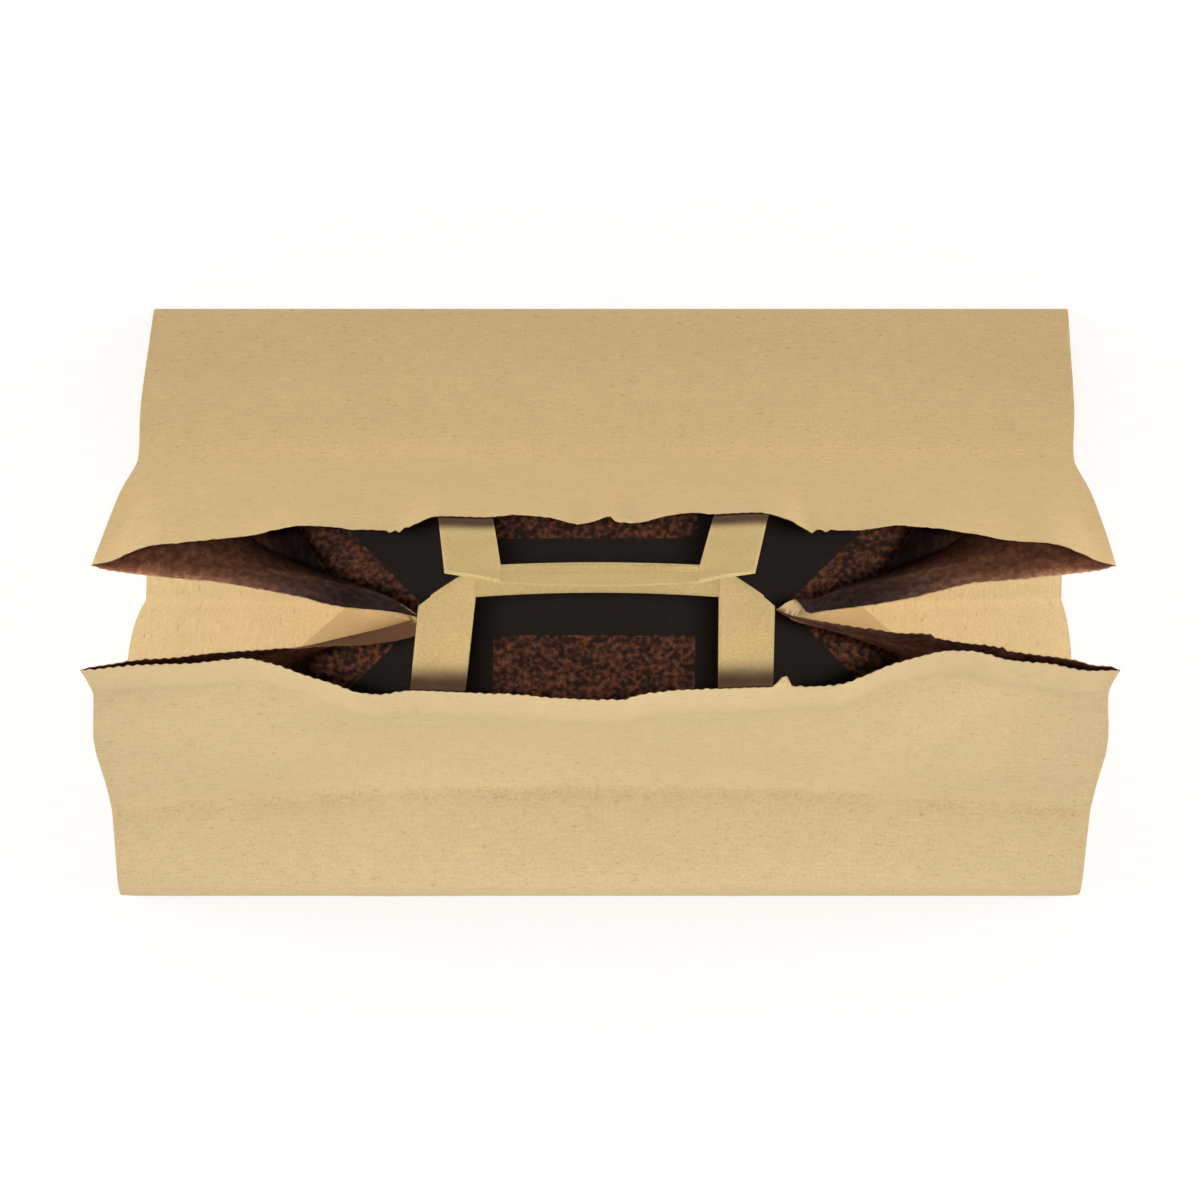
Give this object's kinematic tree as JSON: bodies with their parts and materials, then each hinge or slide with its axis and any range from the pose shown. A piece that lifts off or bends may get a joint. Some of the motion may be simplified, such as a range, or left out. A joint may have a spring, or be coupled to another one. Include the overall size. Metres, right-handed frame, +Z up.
{
  "type": "paper carrier bag",
  "caption": "Wide kraft paper carrier bag with a block bottom, pushed-in side gussets and two flat tape handles that lean together over the mouth.",
  "frame": {"origin": "middle of the base, on the surface that the bag stands on", "axes": "+X along the bag's width, +Y from the front panel to the back panel, +Z up"},
  "size_m": [0.32, 0.211, 0.2797],
  "materials": {
    "kraft_sheet": "matte unbleached kraft paper, light outside and red-brown inside",
    "kraft_tape": "matte folded kraft tape",
    "kraft_patch": "matte kraft paper"
  },
  "bodies": {
    "root": {"bag_body": "kraft_sheet", "front_handle": "kraft_tape", "back_handle": "kraft_tape", "front_handle_patch": "kraft_patch", "back_handle_patch": "kraft_patch"}
  },
  "joints": []
}
